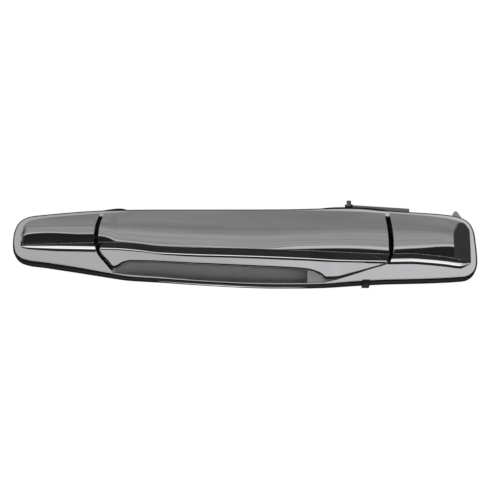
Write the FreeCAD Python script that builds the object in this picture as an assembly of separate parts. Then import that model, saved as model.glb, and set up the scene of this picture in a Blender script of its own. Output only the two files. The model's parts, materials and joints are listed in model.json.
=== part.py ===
import FreeCAD, Part
import math
import os

# Car door handle of the pull-strap kind, for a rear door. All sizes are in millimetres.
# X runs along the handle towards the rear of the vehicle, Y goes into the door, Z is up.
# The plane Y = 0 is the outside of the door skin. "Out" below means the distance in front of the flange.

V = FreeCAD.Vector

# depth stack, from the flange's front face to the door skin
FLANGE_Y = -11.0
FLANGE_T = 1.6
FLOOR_Y = -7.0
FLOOR_T = 1.6
GASKET_T = 3.2
PAD_T = 0.4
RIM_GROW = 0.9
RIM_WIDTH = 4.5
GASKET_WIDTH = 5.2
FLANGE_BACK = FLANGE_Y + FLANGE_T
FLOOR_BACK = FLOOR_Y + FLOOR_T
PLATE_FRONT = FLOOR_BACK
PLATE_BACK = -GASKET_T

# skins
POD_WALL = 1.8
EDGE_R = 0.7
SHELL_WALL = 2.2
CUP_WALL = 1.4
LIP_R = 1.0
UNDER_DEG = 7.0
POD_FILLET = 2.2
STRAP_FILLET = 0.6
SINK = 0.3
STRAP_LIFT = 0.5
REST_TOP = 18.6
OPEN_TOP = 19.4

# the strap's inner core and the feet of the legs screwed to it
CORE_BACK = 1.5
CORE_FRONT = 3.0
POCKET = (-93.0, -77.0, -1.9, 15.2)
FOOT_T = 2.4
FOOT_Y = FLANGE_Y - CORE_FRONT
SCREW_Z = 5.0
CORE_SCREWS = [-69.0, 67.0]

# the strap's hinge and its travel
HINGE_X = -85.0
HINGE_Y = -8.5
HINGE_Z0 = -0.1
HINGE_Z1 = 13.2
PIN_R = 2.0
HINGE_ROOM_R = 4.6
EAR_T = 3.0

# rear leg, a bar bent round the hinge
LEG_R = 165.0
LEG_HALF = 3.0
LEG_Z0 = -3.0
LEG_Z1 = 13.0
LEG_END_DEG = 16.5
LOBE_DEG = 12.53
LOBE_R = 2.3
LOBE_SLACK = 1.5
LEG_SLACK = 0.7

# bell crank
CRANK_Y = 16.5
CRANK_Z = -13.4
ARM_R = 20.0
SWEEP_DEG = 65.4
SHAFT_R = 2.5
BUSH_R = 3.5
SLEEVE_R = 4.8
OUT_ARM_R = 18.0
OUT_ARM_DEG = 12.0
CLIP_R = 2.4
ROD_R = 1.6
SLEEVE_X = (63.6, 103.4)
LOBE_X = (68.5, 88.5)
REST_DEG = 90.0 - SWEEP_DEG / 2
WEIGHT_DEG = 196.0
WEIGHT_R = 11.0
CHEEKS = [(60.0, 63.0), (104.0, 107.0)]
CHEEK_R = 4.6

# mounting bolts
BOLT_X = 122.0
BOLT_R = 2.5
INSERT_R = 4.2
BOSS_R = 6.6
BEZEL_SCREWS = [(-106.0, 6.0), (111.2, 2.0)]

RUNNING = 0.05

# outline of the chromed flange, (x, z), clockwise from the middle of the left end
OUTLINE = [
    (-150.7, 3.0), (-149.9, 9.5), (-147.3, 15.0), (-142.0, 18.3), (-130.0, 20.0), (-113.0, 21.6),
    (-95.0, 22.8), (-70.0, 23.4), (-20.0, 23.5), (30.0, 23.7), (62.0, 24.5), (76.0, 24.3),
    (90.0, 23.0), (110.0, 21.6), (130.0, 20.1), (141.0, 18.1), (146.3, 14.6), (148.8, 9.5),
    (149.9, 1.0), (150.4, -7.0), (150.2, -13.0), (148.6, -17.4), (144.8, -20.3), (138.0, -21.3),
    (115.0, -22.4), (90.0, -23.0), (70.0, -24.1), (52.0, -25.6), (34.0, -26.0), (8.0, -25.8),
    (-25.0, -24.2), (-55.0, -22.1), (-77.0, -20.5), (-89.0, -18.4), (-110.0, -14.6),
    (-130.0, -11.5), (-141.0, -10.0), (-146.6, -8.1), (-149.6, -4.8),
]

# left side of the opening in the flange, from the top down to the finger cup, (x, z)
CUP_DEEP = [(-84.0, 5.0), (-78.0, 11.0), (-66.0, 17.5), (-45.0, 21.5), (-18.0, 23.0), (10.0, 22.5),
            (29.0, 20.5), (40.5, 17.5)]
# how much further than the rest the carrier's rim stands out below, by x
RIM_EXTRA = [(-151.0, 0.2), (-141.0, 0.5), (-100.0, 0.5), (-85.0, 0.0), (-60.0, -0.4), (45.0, -0.4),
             (70.0, 0.0), (151.0, 0.0)]
RIM_BUMPS = [
    [(-101.0, 22.0), (-92.0, 24.0), (-85.0, 25.0), (-80.0, 24.9), (-72.0, 22.6)],
    [(40.0, 23.2), (50.0, 25.2), (60.0, 26.0), (72.0, 25.9), (86.0, 25.0), (104.0, 21.6)],
]
LEFT_EDGE = [(-95.2, OPEN_TOP), (-96.5, 13.0), (-97.2, 7.0), (-97.5, 0.0), (-97.0, -3.8),
             (-94.9, -7.6), (-91.5, -11.6), (-88.2, -15.6)]
# lower rim of the finger cup
CUP_RIM = [(-85.4, -18.0), (-77.0, -19.1), (-55.0, -20.8), (-25.0, -23.2), (8.0, -24.7),
           (34.0, -24.9), (50.5, -24.5)]
# right side of the opening, from the cup up to the top
RIGHT_EDGE = [(58.9, -23.3), (68.7, -20.3), (81.7, -16.0), (92.9, -12.3), (95.2, -9.6),
              (95.7, 0.0), (95.4, 10.0), (94.6, OPEN_TOP)]

# the strap's outline inside that opening, (x, z)
STRAP_LEFT = [(-92.5, OPEN_TOP), (-93.8, 13.0), (-94.6, 7.0), (-94.9, 0.0), (-94.5, -3.8),
              (-92.2, -7.6), (-88.8, -11.6), (-85.6, -15.9)]
STRAP_LOW = [(-83.2, -15.2), (-80.0, -12.8), (-74.3, -11.2), (-62.0, -11.3), (-42.0, -12.5), (-16.0, -13.9),
             (10.0, -15.2), (30.0, -16.1), (40.0, -17.0), (46.5, -18.9), (50.2, -21.0), (52.4, -23.2)]
STRAP_RIGHT = [(58.8, -22.9), (68.6, -20.0), (81.6, -15.7), (91.9, -12.1), (92.6, -9.6),
               (92.7, 0.0), (92.4, 10.0), (91.6, OPEN_TOP)]

# how the raised forms change along the length: (x, value)
TOP_LEFT = [(-146.0, 8.6), (-144.6, 13.0), (-141.5, 15.8), (-136.9, 17.1), (-130.0, 18.3),
            (-120.0, 19.3), (-97.0, 21.2)]
TOP_STRAP = [(-95.0, 20.6), (-85.0, 21.8), (-73.0, 22.9), (-50.0, 23.3), (36.0, 23.3), (47.0, 23.2),
             (75.0, 22.4), (93.0, 21.0)]
TOP_RIGHT = [(95.0, 21.6), (114.0, 20.2), (130.0, 18.3), (138.0, 16.6), (143.4, 14.6), (146.6, 10.5)]
CREASE_LEFT = [(-146.0, -0.9), (-141.0, -1.3), (-127.0, -1.7), (-97.0, -2.3)]
CREASE_STRAP = [(-95.0, -2.2), (-82.0, -2.6), (-70.0, -3.7), (-55.0, -5.7), (-29.0, -7.1), (-16.0, -7.5),
                (23.0, -8.8), (42.0, -9.5), (62.0, -10.3), (93.0, -11.0)]
CREASE_RIGHT = [(95.0, -10.6), (107.0, -10.4), (120.0, -11.2), (130.0, -12.2), (140.0, -13.4),
                (146.6, -12.2)]
HEIGHT_LEFT = [(-146.0, 1.2), (-144.6, 3.4), (-141.5, 5.0), (-130.0, 7.0), (-97.0, 11.0)]
HEIGHT_STRAP = [(-95.0, 11.2), (-70.0, 13.2), (-30.0, 15.8), (5.0, 16.6), (45.0, 15.8), (93.0, 13.4)]
HEIGHT_RIGHT = [(95.0, 13.2), (120.0, 12.4), (134.0, 11.6), (138.0, 10.4), (142.0, 6.4), (146.6, 1.2)]
PEAK_LEFT = [(-146.0, 0.56), (-127.0, 0.61), (-107.0, 0.70), (-97.0, 0.72)]
PEAK_STRAP = [(-95.0, 0.76), (-89.0, 0.82), (-81.5, 0.95), (-65.0, 0.98), (-29.0, 0.98), (9.0, 1.02),
              (36.0, 0.93), (75.0, 0.87), (93.0, 0.88)]
PEAK_RIGHT = [(95.0, 0.87), (110.0, 0.84), (127.0, 0.75), (134.0, 0.72), (146.6, 0.70)]
BOW_STRAP = [(-95.0, 0.0), (-80.0, 0.0), (-40.0, 1.8), (0.0, 2.4), (40.0, 1.4), (62.0, 0.0), (93.0, 0.0)]


def along(table, x):
    """Value at x of the smooth, never overshooting curve through a table of (x, value)."""
    xs = [row[0] for row in table]
    ys = [row[1] for row in table]
    n = len(xs)
    if x <= xs[0]:
        return ys[0]
    if x >= xs[-1]:
        return ys[-1]
    steps = [(ys[i + 1] - ys[i]) / (xs[i + 1] - xs[i]) for i in range(n - 1)]
    slopes = [steps[0]]
    for i in range(1, n - 1):
        if steps[i - 1] * steps[i] <= 0:
            slopes.append(0.0)
        else:
            slopes.append(2 * steps[i - 1] * steps[i] / (steps[i - 1] + steps[i]))
    slopes.append(steps[-1])
    i = max(k for k in range(n - 1) if xs[k] <= x)
    h = xs[i + 1] - xs[i]
    t = (x - xs[i]) / h
    a = ys[i] * (1 + 2 * t) * (1 - t) ** 2 + slopes[i] * h * t * (1 - t) ** 2
    b = ys[i + 1] * t * t * (3 - 2 * t) + slopes[i + 1] * h * t * t * (t - 1)
    return a + b


def at(x, out, z):
    """Point a distance out in front of the flange's front face."""
    return V(x, FLANGE_Y - out, z)


def spans(points):
    """Smooth closed curve through (x, z) points, as a cubic per span: start, two handles, end."""
    n = len(points)
    found = []
    for i in range(n):
        p0, p1, p2, p3 = (points[(i + k - 1) % n] for k in range(4))
        d01 = math.dist(p0, p1) ** 0.5
        d12 = math.dist(p1, p2) ** 0.5
        d23 = math.dist(p2, p3) ** 0.5
        handles = []
        for k in range(2):
            m1 = d12 * ((p1[k] - p0[k]) / d01 - (p2[k] - p0[k]) / (d01 + d12) + (p2[k] - p1[k]) / d12)
            m2 = d12 * ((p2[k] - p1[k]) / d12 - (p3[k] - p1[k]) / (d12 + d23) + (p3[k] - p2[k]) / d23)
            handles.append((p1[k] + m1 / 3, p2[k] - m2 / 3))
        found.append((p1, (handles[0][0], handles[1][0]), (handles[0][1], handles[1][1]), p2))
    return found


def outline_points(grow, low_extra):
    """The flange outline's own points moved outwards by grow, plus a further amount along the lower side."""
    moved = []
    for start, handle, _, _ in spans(OUTLINE):
        dx = handle[0] - start[0]
        dz = handle[1] - start[1]
        length = math.hypot(dx, dz)
        out = grow
        if low_extra and start[1] < 0:
            out += along(low_extra, start[0])
        moved.append((start[0] - dz / length * out, start[1] + dx / length * out))
    return moved


def outline_wire(grow, y, low_extra=()):
    edges = []
    for span in spans(outline_points(grow, low_extra)):
        curve = Part.BezierCurve()
        curve.setPoles([V(x, y, z) for x, z in span])
        edges.append(curve.toShape())
    return Part.Wire(edges)


def outline_slab(grow, y0, y1, low_extra=()):
    """Plate with the flange's outline between two depths."""
    return Part.Face(outline_wire(grow, y0, low_extra)).extrude(V(0, y1 - y0, 0))


def spline_edge(points):
    """Smooth edge through points, evenly paced so that neighbouring sections match."""
    curve = Part.BSplineCurve()
    curve.interpolate(Points=points, Parameters=[float(k) for k in range(len(points))])
    return curve.toShape()


def line_edge(a, b):
    return Part.makeLine(a, b)


def box(x0, x1, y0, y1, z0, z1):
    return Part.makeBox(x1 - x0, y1 - y0, z1 - z0, V(x0, y0, z0))


def rod_x(r, x0, x1, y, z):
    return Part.makeCylinder(r, x1 - x0, V(x0, y, z), V(1, 0, 0))


def rod_y(r, y0, y1, x, z):
    return Part.makeCylinder(r, y1 - y0, V(x, y0, z), V(0, 1, 0))


def rod_z(r, z0, z1, x, y):
    return Part.makeCylinder(r, z1 - z0, V(x, y, z0), V(0, 0, 1))


def rounded(shape, radius, pick):
    """Round the edges that pick chooses."""
    return shape.makeFillet(radius, [edge for edge in shape.Edges if pick(edge)])


def face_curve(top, top_out, height, low, peak):
    """Points (z, out) of the raised face from its top edge down to where the lip starts."""
    span = top - low
    bend = math.pi / 2 / peak
    scale = 1.0 if peak <= 1.0 else math.sin(bend)
    rows = []
    for k in range(9):
        t = k / 8
        if t <= peak:
            f = math.sin(bend * t) / scale
        else:
            f = 1.0 - 0.2 * bend * bend * (t - peak) ** 2
        rows.append((top - span * t, top_out + (height - top_out) * f))
    return rows


def raised_profile(x, top, top_out, height, crease, crease_out, peak, radius, fillet):
    """Edges of the raised form's front: the face, the lip and the underside back to the crease."""
    radius = min(radius, 0.3 * (height - crease_out))
    slope = math.radians(UNDER_DEG)
    reach = height - radius - crease_out
    low = crease + (radius + reach * math.sin(slope)) / math.cos(slope)
    rows = face_curve(top, top_out, height, low, peak)
    z1, out1 = rows[-1]
    nose = at(x, out1 - radius, z1)

    def on_lip(deg):
        turn = math.radians(deg)
        return nose + V(0, -radius * math.cos(turn), -radius * math.sin(turn))

    under = on_lip(90 - UNDER_DEG)
    edges = [spline_edge([at(x, out, z) for z, out in rows])]
    edges.append(Part.Arc(at(x, out1, z1), on_lip(42), under).toShape())
    foot = min(fillet, 0.4 * reach)
    into = V(0, -math.cos(slope), math.sin(slope))
    corner = at(x, crease_out, crease)
    if foot < 0.1:
        edges.append(line_edge(under, corner))
        return edges
    high = corner + into * foot
    end = corner + V(0, 0, -foot)
    centre = corner + (into + V(0, 0, -1)) * foot
    middle = centre - (into + V(0, 0, -1)).normalize() * foot
    edges.append(line_edge(under, high))
    edges.append(Part.Arc(high, middle, end).toShape())
    return edges


def pod_wire(x, tables, inset):
    top, height, crease, peak = (along(table, x) for table in tables)
    back = -1.0 if inset == 0 else -4.0
    top = top - 1.25 * inset
    crease = crease + inset
    height = height - inset
    fillet = 0.0 if inset else min(POD_FILLET, 0.3 * height)
    sunk = 0.0 if inset else SINK
    edges = raised_profile(x, top, 0.0, max(height, 0.5), crease, -sunk, peak, LIP_R, fillet)
    foot = edges[-1].Vertexes[-1].Point.z
    edges.append(line_edge(at(x, -sunk, foot), at(x, back, foot)))
    edges.append(line_edge(at(x, back, foot), at(x, back, top)))
    edges.append(line_edge(at(x, back, top), at(x, 0.0, top)))
    return Part.Wire(edges)


def pod_solid(stations, tables, inset):
    return Part.makeLoft([pod_wire(x, tables, inset) for x in stations], True, False)


def strap_lift(x):
    """Gap between the strap's back and the flange; wider left of the hinge, where the strap swings in."""
    return STRAP_LIFT + 0.15 * max(0.0, HINGE_X + 2.0 - x)


def strap_wire(x, inset):
    top = along(TOP_STRAP, x) - 1.15 * inset
    height = along(HEIGHT_STRAP, x) - inset
    crease = along(CREASE_STRAP, x) + inset
    bow = along(BOW_STRAP, x)
    peak = along(PEAK_STRAP, x)
    lift = strap_lift(x)
    if inset:
        edges = raised_profile(x, top, lift, height, crease, 0.0, peak, LIP_R, 0.0)
        edges.append(line_edge(at(x, 0.0, crease), at(x, -5.0, crease)))
        edges.append(line_edge(at(x, -5.0, crease), at(x, -5.0, top)))
        edges.append(line_edge(at(x, -5.0, top), at(x, lift, top)))
        return Part.Wire(edges)
    low = -27.0
    edges = raised_profile(x, top, lift, height, crease, bow, peak, LIP_R, STRAP_FILLET)
    corners = [edges[-1].Vertexes[-1].Point, at(x, bow, low), at(x, bow - SHELL_WALL, low),
               at(x, -SHELL_WALL, crease + 4.0), at(x, -SHELL_WALL, REST_TOP),
               at(x, lift, REST_TOP), at(x, lift, top)]
    edges += [line_edge(a, b) for a, b in zip(corners, corners[1:])]
    return Part.Wire(edges)


def prism(points, y0, y1):
    """Straight-sided solid from (x, z) corners between two depths."""
    wire = Part.makePolygon([V(x, y0, z) for x, z in points + points[:1]])
    return Part.Face(wire).extrude(V(0, y1 - y0, 0))


def smooth_prism(runs, y0, y1):
    """Solid whose outline is a chain of smooth runs of (x, z) points."""
    edges = []
    for i, run in enumerate(runs):
        edges.append(spline_edge([V(x, y0, z) for x, z in run]))
        nxt = runs[(i + 1) % len(runs)]
        if run[-1] != nxt[0]:
            edges.append(line_edge(V(run[-1][0], y0, run[-1][1]), V(nxt[0][0], y0, nxt[0][1])))
    return Part.Face(Part.Wire(edges)).extrude(V(0, y1 - y0, 0))


def opening_solid(y0, y1):
    return smooth_prism([LEFT_EDGE, CUP_RIM, RIGHT_EDGE], y0, y1)


def opening_wall(wall, y0, y1):
    """The opening's outline moved outwards by a wall."""
    left = [(x - wall, z) for x, z in LEFT_EDGE]
    left[0] = (left[0][0], OPEN_TOP + wall)
    low = [(x, z - 0.6 * wall) for x, z in CUP_RIM]
    right = [(x + wall, z) for x, z in RIGHT_EDGE]
    right[-1] = (right[-1][0], OPEN_TOP + wall)
    return smooth_prism([left, low, right], y0, y1)


def cup_solid(grow):
    """The finger cup: a scoop behind the strap, deepest in its middle."""
    wires = []
    for x, deep in CUP_DEEP:
        rim = along(CUP_RIM, x) - grow
        x = x - grow if x < -80 else x
        x = x + grow if x > 35 else x
        front = FLOOR_Y - 5.5
        deep = deep + grow
        top = 13.5 + grow
        mid = (rim + top) / 2
        low = [V(x, front, rim), V(x, FLOOR_Y, rim), V(x, FLOOR_Y + 0.36 * deep, rim + 1.6),
               V(x, FLOOR_Y + 0.78 * deep, rim + 7.0), V(x, FLOOR_Y + deep, mid + 1.0)]
        up = [V(x, FLOOR_Y + deep, mid + 1.0), V(x, FLOOR_Y + 0.86 * deep, mid + 9.0),
              V(x, FLOOR_Y + 0.4 * deep, top - 1.2), V(x, FLOOR_Y, top), V(x, front, top)]
        edges = [spline_edge(low + up[1:]), line_edge(up[-1], low[0])]
        wires.append(Part.Wire(edges))
    return Part.makeLoft(wires, True, False)


def leg_sector(r0, r1, deg0, deg1, z0, z1):
    """Bar bent round the strap's hinge, from one angle to another."""
    def spot(r, deg):
        return V(HINGE_X + r * math.cos(math.radians(deg)), HINGE_Y + r * math.sin(math.radians(deg)), z0)

    mid = (deg0 + deg1) / 2
    outer = Part.Arc(spot(r1, deg0), spot(r1, mid), spot(r1, deg1)).toShape()
    inner = Part.Arc(spot(r0, deg1), spot(r0, mid), spot(r0, deg0)).toShape()
    wire = Part.Wire([outer, line_edge(spot(r1, deg1), spot(r0, deg1)), inner,
                      line_edge(spot(r0, deg0), spot(r1, deg0))])
    return Part.Face(wire).extrude(V(0, 0, z1 - z0))


def crank_point(x, radius, deg):
    """Point at a radius from the crank's axis; 0 degrees is into the door, 90 is up."""
    turn = math.radians(deg)
    return V(x, CRANK_Y + radius * math.cos(turn), CRANK_Z + radius * math.sin(turn))


def crank_link(x0, x1, radius, deg, r_hub, r_tip):
    """Flat tapered arm between the crank's hub and a point on it."""
    hub = rod_x(r_hub, x0, x1, CRANK_Y, CRANK_Z)
    tip_at = crank_point(x0, radius, deg)
    tip = rod_x(r_tip, x0, x1, tip_at.y, tip_at.z)
    side = math.degrees(math.acos((r_hub - r_tip) / radius))
    corners = []
    for centre, r, sign in ((V(x0, CRANK_Y, CRANK_Z), r_hub, 1), (tip_at, r_tip, 1), (tip_at, r_tip, -1),
                            (V(x0, CRANK_Y, CRANK_Z), r_hub, -1)):
        turn = math.radians(deg + sign * side)
        corners.append(centre + V(0, r * math.cos(turn), r * math.sin(turn)))
    web = Part.Face(Part.makePolygon(corners + corners[:1])).extrude(V(x1 - x0, 0, 0))
    return hub.fuse([tip, web]).removeSplitter()


def screw(x, z, y0, length, r, head_r, head_t, out):
    """Pan-head screw along Y with a cross recess; out is +1 when the head is on the door side."""
    head_y = y0 if out > 0 else y0 - head_t
    shank_y = y0 - length if out > 0 else y0
    head = rod_y(head_r, head_y, head_y + head_t, x, z)
    far = (lambda edge: edge.BoundBox.YMax > head_y + head_t - 1e-6) if out > 0 else (
        lambda edge: edge.BoundBox.YMin < head_y + 1e-6)
    head = rounded(head, 0.45 * head_t, lambda edge: far(edge) and edge.BoundBox.YLength < 1e-6)
    body = head.fuse(rod_y(r, shank_y, shank_y + length, x, z))
    depth = 0.6 * head_t
    slot_y = head_y + head_t - depth if out > 0 else head_y
    for wide, tall in ((1.3 * head_r, 0.35 * head_r), (0.35 * head_r, 1.3 * head_r)):
        body = body.cut(box(x - wide / 2, x + wide / 2, slot_y, slot_y + depth, z - tall / 2, z + tall / 2))
    return body


# ---- bezel -------------------------------------------------------------------------------------

def stations(x0, x1, count):
    return [x0 + (x1 - x0) * k / (count - 1) for k in range(count)]


LEFT_STATIONS = stations(-146.0, -95.0, 21)
RIGHT_STATIONS = stations(94.5, 146.6, 22)
LEFT_TABLES = (TOP_LEFT, HEIGHT_LEFT, CREASE_LEFT, PEAK_LEFT)
RIGHT_TABLES = (TOP_RIGHT, HEIGHT_RIGHT, CREASE_RIGHT, PEAK_RIGHT)


def make_bezel():
    rings = [outline_wire(-EDGE_R * share, FLANGE_Y + EDGE_R * depth)
             for share, depth in ((0.0, 1.0), (0.3, 0.3), (1.0, 0.0))]
    edge = Part.makeLoft(rings, True, True)
    flange = outline_slab(0.0, FLANGE_Y + EDGE_R, FLANGE_BACK).fuse(edge)
    bezel = flange.fuse([pod_solid(LEFT_STATIONS, LEFT_TABLES, 0),
                         pod_solid(RIGHT_STATIONS, RIGHT_TABLES, 0)])
    bezel = bezel.fuse(opening_wall(1.5, FLANGE_Y + 0.8, FLOOR_BACK).common(
        outline_slab(-0.4, FLANGE_Y + 0.8, FLOOR_BACK)))
    left_hollow = pod_solid(stations(-143.6, -99.2, 14), LEFT_TABLES, POD_WALL)
    right_hollow = pod_solid(stations(97.5, 140.5, 14), RIGHT_TABLES, POD_WALL)
    bezel = bezel.cut(left_hollow).cut(right_hollow)
    bezel = bezel.cut(opening_solid(FLANGE_Y - 30.0, FLOOR_Y))
    outer_cup = cup_solid(CUP_WALL).common(box(-120, 120, FLOOR_Y + 0.4, 60, -60, 60))
    bezel = bezel.fuse(outer_cup)
    bezel = bezel.cut(cup_solid(0.0).common(opening_solid(FLOOR_Y - 6.0, 60)))
    bezel = bezel.cut(box(-93.0, -76.5, FLOOR_Y - 0.5, FLOOR_BACK + 4.0, -8.5, 16.0))
    bezel = bezel.cut(leg_window(FLOOR_Y - 0.5, FLOOR_BACK + 0.5, 0.0))
    for x, z in BEZEL_SCREWS:
        bezel = bezel.fuse(rod_y(3.0, FLANGE_Y - 14.0, PLATE_FRONT, x, z).common(bezel_pocket(x)))
        bezel = bezel.cut(rod_y(1.2, PLATE_FRONT - 6.0, PLATE_FRONT + 0.1, x, z))
    return bezel


def bezel_pocket(x):
    """Space inside a pod, so a boss stays within the skin."""
    if x < 0:
        return pod_solid(stations(-144.0, -98.5, 12), LEFT_TABLES, 0.6).fuse(
            box(-145, -98.5, FLANGE_Y - 0.5, PLATE_FRONT, -5, 16))
    return pod_solid(stations(97.0, 141.0, 12), RIGHT_TABLES, 0.6).fuse(
        box(97, 141, FLANGE_Y - 0.5, PLATE_FRONT, -12, 16))


def leg_window(y0, y1, grow):
    """Slot the rear leg slides through."""
    slot = leg_sector(LEG_R - LEG_HALF - LEG_SLACK - grow, LEG_R + LEG_HALF + LEG_SLACK + grow, -4.0, 18.0,
                      LEG_Z0 - LEG_SLACK - grow, LEG_Z1 + LEG_SLACK + grow)
    return slot.common(box(60, 100, y0, y1, -30, 30))


# ---- chassis and gasket ------------------------------------------------------------------------



def rim_bumps(y0, y1, grow):
    """Low humps on the rim's upper edge, above the front gap and under the bracket."""
    return [smooth_prism([[(x, z + grow) for x, z in hump]], y0, y1) for hump in RIM_BUMPS]


def make_chassis():
    rim = outline_slab(RIM_GROW, FLANGE_BACK, PLATE_BACK, RIM_EXTRA)
    rim = rim.fuse(rim_bumps(FLANGE_BACK, PLATE_BACK, 0.0))
    rim = rim.cut(outline_slab(RIM_GROW - RIM_WIDTH, FLANGE_BACK - 1.0, PLATE_FRONT))
    rim = rim.cut(opening_wall(1.6, FLANGE_BACK - 1.0, PLATE_FRONT))
    body = rim
    for sign in (-1, 1):
        body = body.fuse(rod_y(BOSS_R, FLANGE_BACK, 0.0, sign * BOLT_X, 0.0))
    for x0, x1 in CHEEKS:
        cheek = box(x0, x1, PLATE_BACK - 0.5, CRANK_Y, CRANK_Z - CHEEK_R, CRANK_Z + CHEEK_R)
        cheek = cheek.fuse(rod_x(CHEEK_R, x0, x1, CRANK_Y, CRANK_Z))
        gusset = Part.Face(Part.makePolygon([V(x0, PLATE_BACK, CRANK_Z + 4.5), V(x0, 12.0, CRANK_Z + 4.5),
                                             V(x0, PLATE_BACK, 8.0), V(x0, PLATE_BACK, CRANK_Z + 4.5)]))
        body = body.fuse([cheek, gusset.extrude(V(x1 - x0, 0, 0))])
    body = body.fuse(leg_window(PLATE_BACK - 0.5, 3.0, 1.8))
    for z0 in (HINGE_Z0, HINGE_Z1 - EAR_T):
        ear = rod_z(4.0, z0, z0 + EAR_T, HINGE_X, HINGE_Y)
        ear = ear.fuse(box(HINGE_X - 4.0, HINGE_X + 4.0, HINGE_Y, PLATE_FRONT + 1.0, z0, z0 + EAR_T))
        body = body.fuse(ear)
    body = body.cut(box(-91.0, -78.5, PLATE_FRONT - 1.0, PLATE_BACK + 0.2,
                        HINGE_Z0 + EAR_T, HINGE_Z1 - EAR_T))
    body = body.cut(cup_solid(CUP_WALL + 0.3).common(box(-120, 120, FLOOR_Y + 0.3, 60, -60, 60)))
    body = body.cut(leg_window(PLATE_FRONT - 1.0, 10.0, 0.0))
    body = body.cut(box(CHEEKS[0][1], CHEEKS[1][0], PLATE_FRONT + 0.6, PLATE_BACK + 0.1, -17.6, -7.2))
    for x0, x1 in CHEEKS:
        body = body.cut(rod_x(SHAFT_R, x0 - 1, x1 + 1, CRANK_Y, CRANK_Z))
    body = body.cut(rod_z(PIN_R, HINGE_Z0 - 1, HINGE_Z1 + 1, HINGE_X, HINGE_Y))
    for sign in (-1, 1):
        body = body.cut(rod_y(INSERT_R, FLANGE_BACK + 1.2, 1.0, sign * BOLT_X, 0.0))
    for x, z in BEZEL_SCREWS:
        body = body.cut(rod_y(1.7, PLATE_FRONT - 1.0, PLATE_BACK + 1.0, x, z))
    return body.removeSplitter()


def make_gasket():
    ring = outline_slab(RIM_GROW + 0.2, PLATE_BACK, 0.0, RIM_EXTRA)
    ring = ring.fuse(rim_bumps(PLATE_BACK, 0.0, 0.2))
    ring = ring.cut(outline_slab(RIM_GROW - GASKET_WIDTH, PLATE_BACK - 1.0, 1.0))
    return ring.cut(cup_solid(CUP_WALL + 1.0).common(box(-120, 120, PLATE_BACK - 0.1, 60, -60, 60)))


# ---- strap -------------------------------------------------------------------------------------

STRAP_STATIONS = stations(-97.0, 95.0, 25)


def strap_outline(y0, y1):
    return smooth_prism([STRAP_LEFT, STRAP_LOW, STRAP_RIGHT, [(91.6, 40.0), (0.0, 40.0), (-92.5, 40.0)]],
                        y0, y1)


def strap_inner(x0, x1):
    inside = [x for x in STRAP_STATIONS if x0 < x < x1]
    return Part.makeLoft([strap_wire(x, SHELL_WALL) for x in [x0] + inside + [x1]], True, False)


def make_shell():
    solid = Part.makeLoft([strap_wire(x, 0) for x in STRAP_STATIONS], True, False)
    solid = solid.common(strap_outline(FLANGE_Y - 30.0, FLANGE_Y + 10.0))
    solid = solid.cut(strap_inner(-92.2, 90.2))
    return solid.cut(rod_z(HINGE_ROOM_R, HINGE_Z0 - 1.4, HINGE_Z1 + 2.2, HINGE_X, HINGE_Y))


def make_core():
    block = strap_inner(-92.2, 90.2)
    low = block.common(box(-100, 100, FLANGE_Y - STRAP_LIFT - 0.1, FLANGE_Y + CORE_BACK,
                           -30, REST_TOP - 1.5))
    high = block.common(box(-100, 100, FLANGE_Y - CORE_FRONT, FLANGE_Y - STRAP_LIFT - 0.1, -30, 30))
    core = low.fuse(high)
    x0, x1, z0, z1 = POCKET
    core = core.cut(box(x0, x1, FLANGE_Y - 20, FLANGE_Y + 10, z0, z1))
    core = core.cut(box(74.5, 86.5, FLANGE_Y - 20, FLANGE_Y + 10, LEG_Z0 - 0.3, LEG_Z1 + 0.3))
    for x in CORE_SCREWS:
        core = core.cut(rod_y(1.7, FLANGE_Y - 10, FLANGE_Y + 10, x, SCREW_Z))
        core = core.cut(rod_y(3.4, FLANGE_Y + CORE_BACK - 1.2, FLANGE_Y + 10, x, SCREW_Z))
    return core.removeSplitter()




def make_pivot_leg():
    z0 = HINGE_Z0 + EAR_T + 0.4
    z1 = HINGE_Z1 - EAR_T - 0.4
    eye = rod_z(4.0, z0, z1, HINGE_X, HINGE_Y)
    web = box(HINGE_X, -77.4, HINGE_Y - 4.0, HINGE_Y - 0.6, z0, z1)
    rise = box(-80.4, -77.4, FOOT_Y - FOOT_T, HINGE_Y - 1.0, z0, z1)
    foot = box(-80.4, -62.0, FOOT_Y - FOOT_T, FOOT_Y, z0, z1)
    leg = eye.fuse([web, rise, foot]).removeSplitter()
    leg = leg.cut(rod_z(PIN_R + 1.0, z0 - 1, z1 + 1, HINGE_X, HINGE_Y))
    return leg.cut(rod_y(1.2, FOOT_Y - 5, FOOT_Y + 1, CORE_SCREWS[0], SCREW_Z))


def make_pull_leg():
    bar = leg_sector(LEG_R - LEG_HALF, LEG_R + LEG_HALF, -2.3, LEG_END_DEG, LEG_Z0, LEG_Z1)
    foot = box(60.0, 80.0, FOOT_Y - FOOT_T, FOOT_Y, LEG_Z0 + 1.5, LEG_Z1 - 1.5)
    leg = bar.fuse(foot).removeSplitter()
    half = math.degrees((LOBE_R + LOBE_SLACK) / LEG_R)
    window = leg_sector(LEG_R - 10, LEG_R + 10, LOBE_DEG - half, LOBE_DEG + half, 0.4, 9.6)
    leg = leg.cut(window)
    return leg.cut(rod_y(1.2, FOOT_Y - 5, FOOT_Y + 1, CORE_SCREWS[1], SCREW_Z))


# ---- crank -------------------------------------------------------------------------------------



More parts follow.
